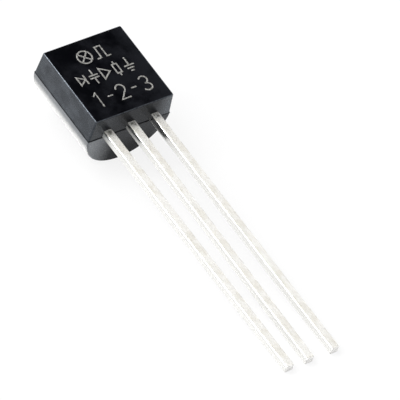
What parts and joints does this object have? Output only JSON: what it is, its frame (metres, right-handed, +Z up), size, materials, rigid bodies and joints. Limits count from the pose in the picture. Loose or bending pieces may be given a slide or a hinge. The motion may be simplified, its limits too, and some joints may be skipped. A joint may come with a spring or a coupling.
{
  "type": "voltage regulator",
  "caption": "Small linear voltage regulator: black half-round moulded body with a flat front and straight plated leads in a row, lying on its back.",
  "frame": {"origin": "bottom centre of the part's box, on the surface it rests on", "axes": "+X runs from lead 1 to lead 3, the leads point towards -Y, +Z is up; lying on the rim of its round back and on its lead tips, the part has its flat face up and its leads sloping down by 8.5 degrees"},
  "size_m": [0.0044, 0.0188, 0.004],
  "materials": {
    "mould_compound": "satin",
    "tinned_lead": "satin",
    "silicon": "polished",
    "silver_adhesive": "matte",
    "gold_wire": "polished"
  },
  "bodies": {
    "root": {"moulded_body": "mould_compound", "ground_lead": "tinned_lead", "input_lead": "tinned_lead", "output_lead": "tinned_lead", "regulator_die": "silicon", "die_attach": "silver_adhesive", "ground_bond_wire": "gold_wire", "input_bond_wire": "gold_wire", "output_bond_wire": "gold_wire"}
  },
  "joints": []
}
